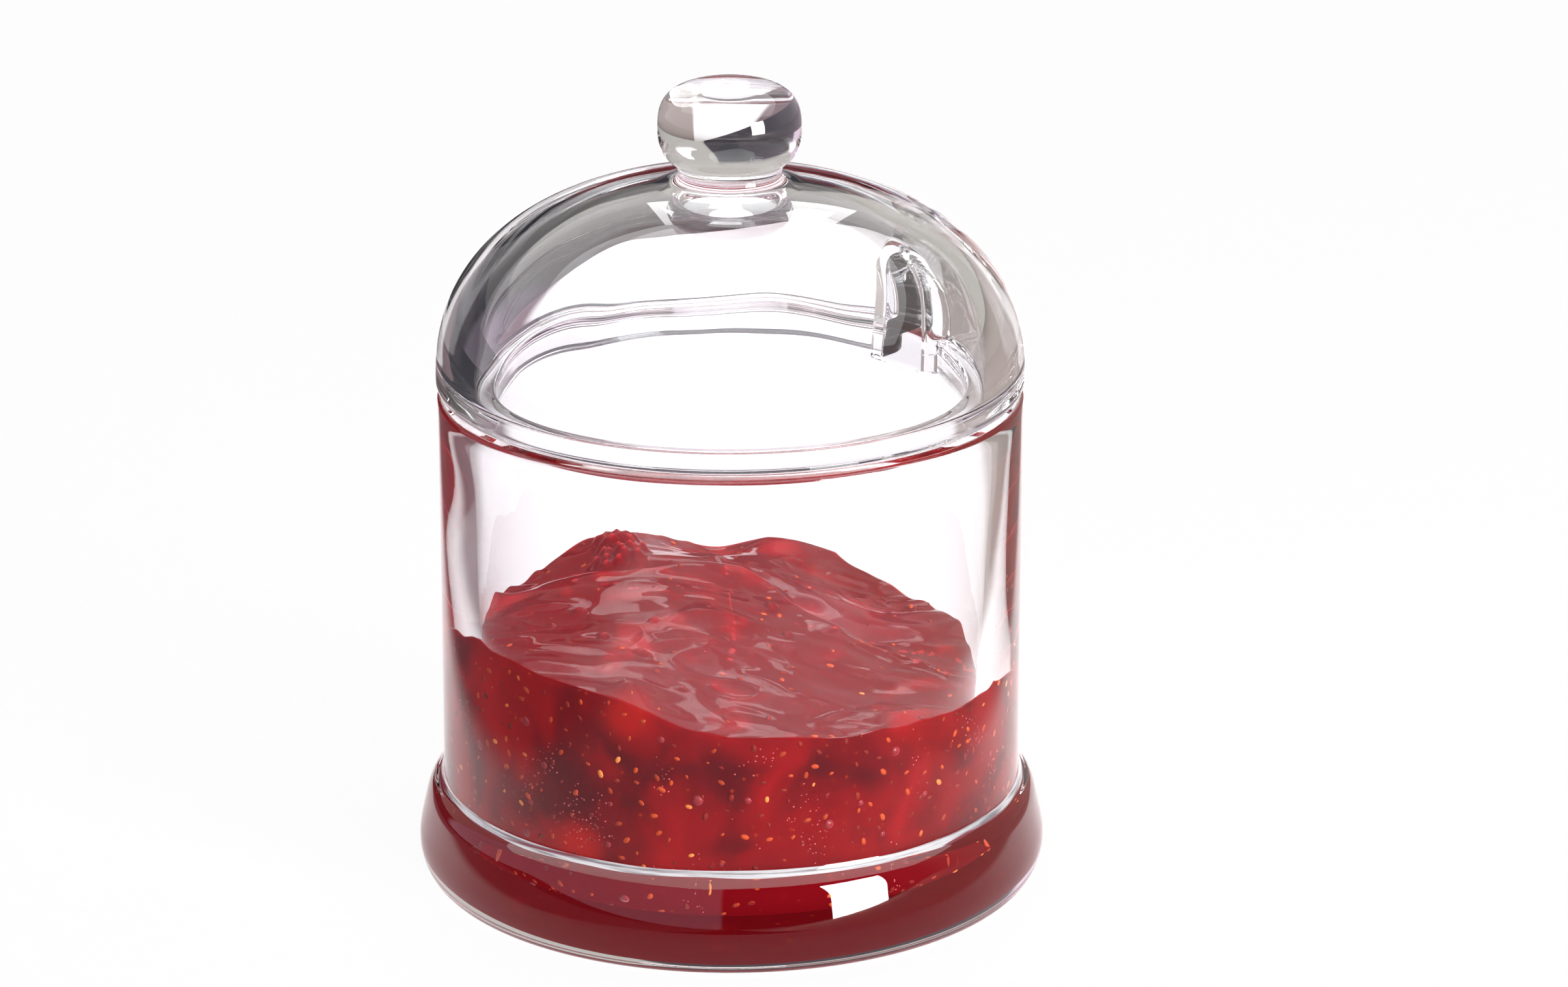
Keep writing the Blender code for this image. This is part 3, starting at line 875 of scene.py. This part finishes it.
def makeJam():
    side, top = makeJamMaterials()
    radius = jar["inner"]
    bottom = jar["floor"] - jam["intoWall"]
    corner = jar["innerCorner"] + jam["intoWall"]
    outline = [(radius * i / jam["rings"], 0.0) for i in range(jam["rings"] + 1)]
    outline[0] = (0.001, 0.0)
    topRows, sideRows = len(outline), jam["sideRows"]
    outline += [(radius, i / sideRows) for i in range(1, sideRows)]
    wallEnd = bottom + corner
    low = innerRadius(wallEnd) + jam["intoWall"]
    outline += arcPoints((low - corner, wallEnd), corner, 0, -90, 9)
    outline += linePoints(outline[-1], (0.0, bottom), 8)

    def place(r, height, azimuth, row):
        x, y = math.cos(azimuth), math.sin(azimuth)
        if row >= topRows + sideRows - 1:
            return x * r, y * r, height
        rim = jamHeight(x * radius, y * radius)
        if row < topRows:
            r *= (innerRadius(rim) + jam["intoWall"]) / radius
            return x * r, y * r, jamHeight(x * r, y * r) if row < topRows - 1 else rim
        height = rim + (wallEnd - rim) * height
        r = innerRadius(height) + jam["intoWall"]
        return x * r, y * r, height

    piece = sweepRound("jamBody", outline, evenAzimuths(jam["columns"]), place)
    piece.data.materials.append(side)
    piece.data.materials.append(top)
    nearWall, upright = 0.15, 0.9
    for face in piece.data.polygons:
        outward = math.hypot(face.normal.x, face.normal.y)
        reach = innerRadius(face.center.z / mm) + jam["intoWall"] - nearWall
        onWall = math.hypot(face.center.x, face.center.y) > reach * mm and outward > upright
        face.material_index = 0 if onWall or face.center.z < (wallEnd + 1) * mm else 1
    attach(piece, "root")
    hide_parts("jam")
    return piece


jamBody = makeJam()


print("stage: seeds and bubbles")


# scatters small round bodies over the jam's skin: on its wall, on its wet top, or in clusters
def scatterTree(name):
    tree = bpy.data.node_groups.new(name, "GeometryNodeTree")
    sockets = {}
    for label, kind in (("Geometry", "NodeSocketGeometry"), ("Density", "NodeSocketFloat"),
                        ("Spacing", "NodeSocketFloat"), ("Size", "NodeSocketVector"),
                        ("Smallest", "NodeSocketFloat"), ("Largest", "NodeSocketFloat"),
                        ("Sunk", "NodeSocketFloat"), ("Clusters", "NodeSocketFloat"),
                        ("Top Share", "NodeSocketFloat"), ("Seed", "NodeSocketInt"),
                        ("Material", "NodeSocketMaterial")):
        sockets[label] = tree.interface.new_socket(label, in_out="INPUT", socket_type=kind).identifier
    tree.interface.new_socket("Geometry", in_out="OUTPUT", socket_type="NodeSocketGeometry")
    given = addNode(tree, "NodeGroupInput").outputs
    normal = addNode(tree, "GeometryNodeInputNormal").outputs[0]
    facing = addNode(tree, "ShaderNodeSeparateXYZ", inputs={0: normal}).outputs["Z"]
    onTop = addNode(tree, "FunctionNodeCompare", settings={"data_type": "FLOAT", "operation": "GREATER_THAN"},
                    inputs={1: 0.4, 0: facing}).outputs[0]
    below = addNode(tree, "FunctionNodeCompare", settings={"data_type": "FLOAT", "operation": "LESS_THAN"},
                    inputs={1: -0.9, 0: facing}).outputs[0]
    share = addNode(tree, "GeometryNodeSwitch", settings={"input_type": "FLOAT"},
                    inputs={"False": 1.0, 0: onTop, "True": given["Top Share"]}).outputs[0]
    share = addNode(tree, "GeometryNodeSwitch", settings={"input_type": "FLOAT"},
                    inputs={"True": 0.0, 0: below, "False": share}).outputs[0]
    where = addNode(tree, "GeometryNodeInputPosition").outputs[0]
    cloud = addNode(tree, "ShaderNodeTexNoise",
                    inputs={"Scale": 130.0, "Detail": 1.0, "Vector": where}).outputs[0]
    core = addNode(tree, "ShaderNodeMapRange",
                   inputs={"From Min": 0.62, "From Max": 0.72, "Value": cloud}).outputs[0]
    mask = addNode(tree, "ShaderNodeMix", settings={"data_type": "FLOAT"},
                   inputs={2: 1.0, 0: given["Clusters"], 3: core}).outputs[0]
    share = addNode(tree, "ShaderNodeMath", settings={"operation": "MULTIPLY"},
                    inputs={0: share, 1: mask}).outputs[0]
    points = addNode(tree, "GeometryNodeDistributePointsOnFaces", settings={"distribute_method": "POISSON"},
                     inputs={"Mesh": given["Geometry"], "Distance Min": given["Spacing"],
                            "Density Max": given["Density"], "Density Factor": share, "Seed": given["Seed"]})
    down = addNode(tree, "ShaderNodeVectorMath", settings={"operation": "SCALE"},
                   inputs={0: points.outputs["Normal"], "Scale": given["Sunk"]}).outputs[0]
    settled = addNode(tree, "GeometryNodeSetPosition",
                      inputs={0: points.outputs["Points"], "Offset": down}).outputs[0]
    ball = addNode(tree, "GeometryNodeMeshIcoSphere", inputs={"Radius": 0.5, "Subdivisions": 2}).outputs[0]
    shaped = addNode(tree, "GeometryNodeTransform", inputs={0: ball, "Scale": given["Size"]}).outputs[0]
    smooth = addNode(tree, "GeometryNodeSetShadeSmooth", inputs={0: shaped}).outputs[0]
    spin = addNode(tree, "FunctionNodeRandomValue", settings={"data_type": "FLOAT"},
                   inputs={3: math.tau}).outputs[1]
    turn = addNode(tree, "FunctionNodeAxisAngleToRotation",
                   inputs={"Axis": (0, 0, 1), "Angle": spin}).outputs[0]
    facingOut = addNode(tree, "FunctionNodeRotateRotation", settings={"rotation_space": "LOCAL"},
                        inputs={0: points.outputs["Rotation"], 1: turn}).outputs[0]
    growth = addNode(tree, "FunctionNodeRandomValue", settings={"data_type": "FLOAT"},
                     inputs={2: given["Smallest"], 3: given["Largest"], "Seed": 5}).outputs[1]
    placed = addNode(tree, "GeometryNodeInstanceOnPoints", inputs={
        "Points": settled, "Instance": smooth, "Rotation": facingOut, "Scale": growth}).outputs[0]
    tone = addNode(tree, "FunctionNodeRandomValue", settings={"data_type": "FLOAT"},
                   inputs={"Seed": 9}).outputs[1]
    marked = addNode(tree, "GeometryNodeStoreNamedAttribute",
                     settings={"data_type": "FLOAT", "domain": "INSTANCE"},
                     inputs={"Name": "ripeness", 0: placed, "Value": tone}).outputs[0]
    real = addNode(tree, "GeometryNodeRealizeInstances", inputs={0: marked}).outputs[0]
    done = addNode(tree, "GeometryNodeSetMaterial", inputs={0: real, "Material": given["Material"]}).outputs[0]
    addNode(tree, "NodeGroupOutput", inputs={0: done})
    return tree, sockets


def scatter(name, tree, sockets, material, amounts):
    carrier = bpy.data.objects.new(name + "Carrier", jamBody.data.copy())
    bpy.context.scene.collection.objects.link(carrier)
    modifier = carrier.modifiers.new("scatter", "NODES")
    modifier.node_group = tree
    for label, value in amounts.items():
        modifier[sockets[label]] = value
    modifier[sockets["Material"]] = material
    mesh = bpy.data.meshes.new_from_object(carrier.evaluated_get(bpy.context.evaluated_depsgraph_get()))
    mesh.name = name
    bpy.data.objects.remove(carrier)
    piece = bpy.data.objects.new(name, mesh)
    bpy.context.scene.collection.objects.link(piece)
    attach(piece, "root")
    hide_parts("jam")
    print(name, len(mesh.polygons), "faces")


# berry seeds: hard amber husks, some clear of the gel and some dulled by it
def makeSeedMaterial():
    material, tree = newMaterial("berrySeedHusk")
    tone = addNode(tree, "ShaderNodeAttribute", settings={"attribute_name": "ripeness"}).outputs["Fac"]
    color = layColors(tree, "#6a120d", ((tone, 0.25, 0.85, "#a63c18"), (tone, 0.91, 1.0, "#d07c3c")))
    husk = addNode(tree, "ShaderNodeBsdfPrincipled",
                   inputs={"Roughness": 0.45, "Specular IOR Level": 0.1, "Base Color": color})
    addNode(tree, "ShaderNodeOutputMaterial", inputs={"Surface": husk.outputs[0]})
    return material


# air caught in the gel: a darker middle and a thin pinkish ring, a painted reflection where the surface turns
# away from view
def makeBubbleMaterial(name, middle, ring):
    material, tree = newMaterial(name)
    # the ring colour is a painted reflection, laid on by how far the surface turns away
    edge = addNode(tree, "ShaderNodeLayerWeight", inputs={"Blend": 0.35}).outputs["Facing"]
    color = layColors(tree, middle, ((edge, 0.25, 0.75, ring),))
    skin = addNode(tree, "ShaderNodeBsdfPrincipled",
                   inputs={"Roughness": 0.25, "Specular IOR Level": 0.3, "Base Color": color})
    addNode(tree, "ShaderNodeOutputMaterial", inputs={"Surface": skin.outputs[0]})
    return material


# lengths are in metres and densities to the square metre, as the nodes take them
seeds = {
    "Density": 160000.0, "Spacing": 0.0017, "Size": (0.0012, 0.00075, 0.0004), "Smallest": 0.45,
    "Largest": 1.1, "Sunk": 0.0, "Clusters": 0.0, "Top Share": 0.2, "Seed": 4,
}
bubbles = {
    "Density": 9000.0, "Spacing": 0.005, "Size": (0.0014, 0.0014, 0.0006), "Smallest": 0.45, "Largest": 1.15,
    "Sunk": 0.0, "Clusters": 0.0, "Top Share": 0.0, "Seed": 8,
}
froth = {
    "Density": 1600000.0, "Spacing": 0.00035, "Size": (0.00024, 0.00024, 0.00016), "Smallest": 0.5,
    "Largest": 1.2, "Sunk": 0.0, "Clusters": 1.0, "Top Share": 0.0, "Seed": 3,
}
scatterNodes, scatterSockets = scatterTree("scatterInJam")
for name, material, amounts in (
        ("jamSeeds", makeSeedMaterial(), seeds),
        ("jamBubbles", makeBubbleMaterial("airBubbleInGel", "#7a1a20", "#b86a6e"), bubbles),
        ("jamFroth", makeBubbleMaterial("frothInGel", "#a8484c", "#cf8a8c"), froth)):
    scatter(name, scatterNodes, scatterSockets, material, amounts)
